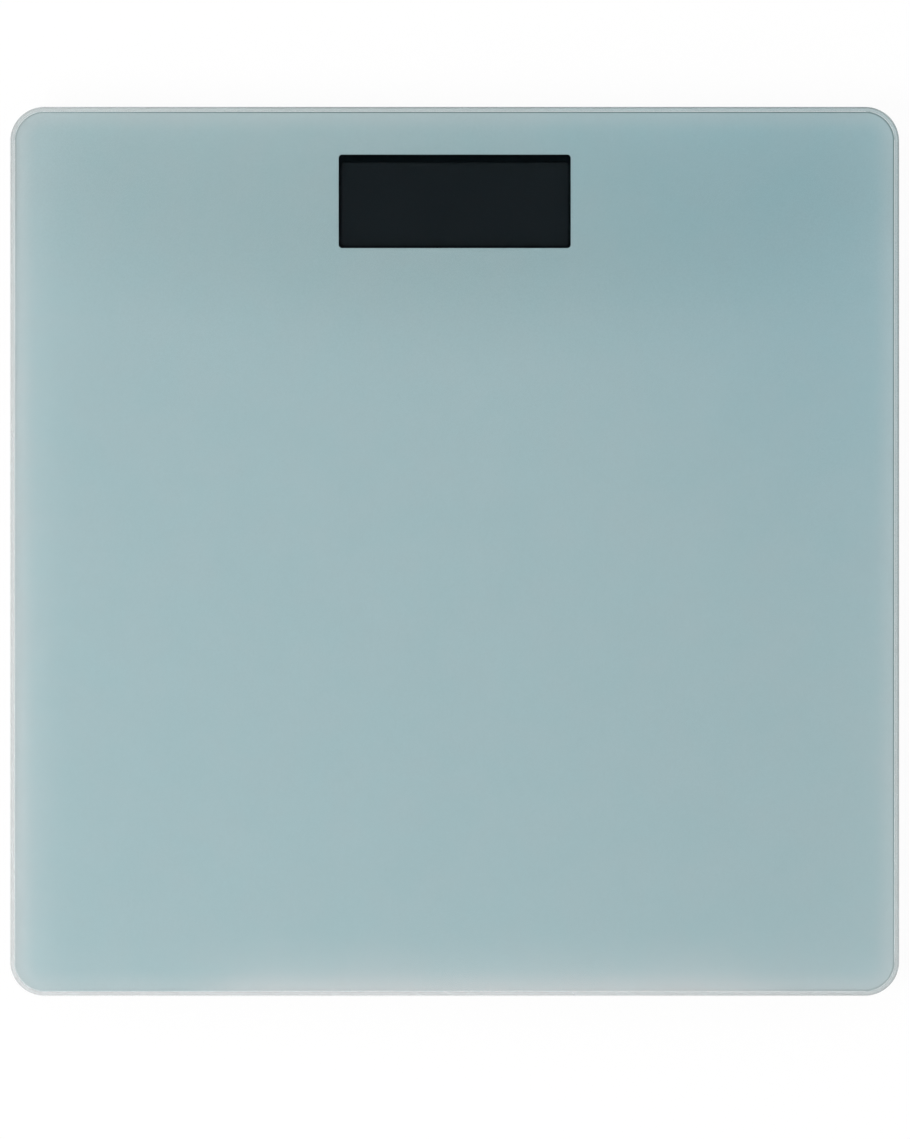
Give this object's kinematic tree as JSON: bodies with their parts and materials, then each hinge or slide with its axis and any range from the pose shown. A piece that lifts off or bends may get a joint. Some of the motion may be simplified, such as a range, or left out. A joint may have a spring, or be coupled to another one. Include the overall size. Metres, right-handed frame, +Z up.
{
  "type": "glass-top digital scale",
  "caption": "Square tempered glass platform scale with a long display window near one edge, a shallow tray beneath it, and spring-mounted sensing feet.",
  "frame": {"origin": "on the floor under the centre of the glass platform, which is the middle of the bottom of the bounding box", "axes": "+Z up; +Y towards the edge with the display, the top of the picture; +X to the right as the display is read"},
  "size_m": [0.3, 0.3, 0.025],
  "materials": {
    "tempered_glass": "polished, with a ground bevel",
    "colour_print": "smooth grey-green print seen through the glass",
    "foam_tape": "matt foam",
    "tray_plastic": "fine moulded texture",
    "button_plastic": "smooth",
    "black_plastic": "smooth",
    "plunger_plastic": "smooth",
    "display_glass": "dark polariser",
    "guide_acrylic": "clear to milky",
    "led_resin": "clear resin",
    "contact_rubber": "layered rubber",
    "board_laminate": "solder mask",
    "zinc_steel": "zinc plated",
    "spring_steel": "nickel plated",
    "sensor_steel": "ground alloy steel",
    "cell_jacket": "printed sleeve over a metal can",
    "wire_sleeve": "soft sleeve in red, white and black",
    "gauge_resin": "cast white resin",
    "bracket_plastic": "glass-filled nylon",
    "foot_plastic": "fine moulded texture",
    "pad_rubber": "matt moulded"
  },
  "bodies": {
    "platform": {"glass_platform": "tempered_glass", "colour_backing": "colour_print", "bonding_tape": "foam_tape", "base_tray": "tray_plastic", "unit_switch": "black_plastic", "lcd_gasket": "foam_tape", "lcd_holder": "black_plastic", "lcd_panel": "display_glass", "light_guide": "guide_acrylic", "backlight_leds": "led_resin", "zebra_strips": "contact_rubber", "circuit_board": "board_laminate", "controller_chip": "black_plastic", "board_components": "black_plastic", "board_screws": "zinc_steel", "aaa_cell_1": "cell_jacket", "aaa_cell_2": "cell_jacket", "aaa_cell_3": "cell_jacket", "contact_plates": "spring_steel", "battery_springs": "spring_steel", "battery_wires": "wire_sleeve", "strain_gauges": "gauge_resin", "bracket_screws": "zinc_steel", "load_cell_toe_left": "sensor_steel", "load_cell_toe_right": "sensor_steel", "load_cell_heel_left": "sensor_steel", "load_cell_heel_right": "sensor_steel", "bracket_toe_left": "bracket_plastic", "bracket_toe_right": "bracket_plastic", "bracket_heel_left": "bracket_plastic", "bracket_heel_right": "bracket_plastic", "sensor_wires_toe_left": "wire_sleeve", "sensor_wires_toe_right": "wire_sleeve", "sensor_wires_heel_left": "wire_sleeve", "sensor_wires_heel_right": "wire_sleeve"},
    "foot_toe_left": {"foot_toe_left": "foot_plastic", "foot_pad_toe_left": "pad_rubber"},
    "foot_toe_right": {"foot_toe_right": "foot_plastic", "foot_pad_toe_right": "pad_rubber"},
    "foot_heel_left": {"foot_heel_left": "foot_plastic", "foot_pad_heel_left": "pad_rubber"},
    "foot_heel_right": {"foot_heel_right": "foot_plastic", "foot_pad_heel_right": "pad_rubber"},
    "battery_door": {"battery_door": "tray_plastic", "door_latch": "tray_plastic"},
    "unit_button": {"unit_button": "button_plastic", "switch_plunger": "plunger_plastic"}
  },
  "joints": [
    {"name": "foot_slide_toe_left", "type": "slide", "parent": "platform", "child": "foot_toe_left", "axis": [0, 0, 1], "range_m": [0, 0.0005], "stiffness_N_per_m": 1000, "deforming": ["load_cell_toe_left"]},
    {"name": "foot_slide_toe_right", "type": "slide", "parent": "platform", "child": "foot_toe_right", "axis": [0, 0, 1], "range_m": [0, 0.0005], "stiffness_N_per_m": 1000, "deforming": ["load_cell_toe_right"]},
    {"name": "foot_slide_heel_left", "type": "slide", "parent": "platform", "child": "foot_heel_left", "axis": [0, 0, 1], "range_m": [0, 0.0005], "stiffness_N_per_m": 1000, "deforming": ["load_cell_heel_left"]},
    {"name": "foot_slide_heel_right", "type": "slide", "parent": "platform", "child": "foot_heel_right", "axis": [0, 0, 1], "range_m": [0, 0.0005], "stiffness_N_per_m": 1000, "deforming": ["load_cell_heel_right"]},
    {"name": "battery_door_hinge", "type": "hinge", "parent": "platform", "child": "battery_door", "pos_m": [0, 0.0825, 0.0065], "axis": [1, 0, 0], "range_deg": [0, 95], "deforming": ["door_latch"]},
    {"name": "unit_button_press", "type": "slide", "parent": "platform", "child": "unit_button", "axis": [0, 0, 1], "range_m": [0, 0.0005], "stiffness_N_per_m": 3000}
  ]
}
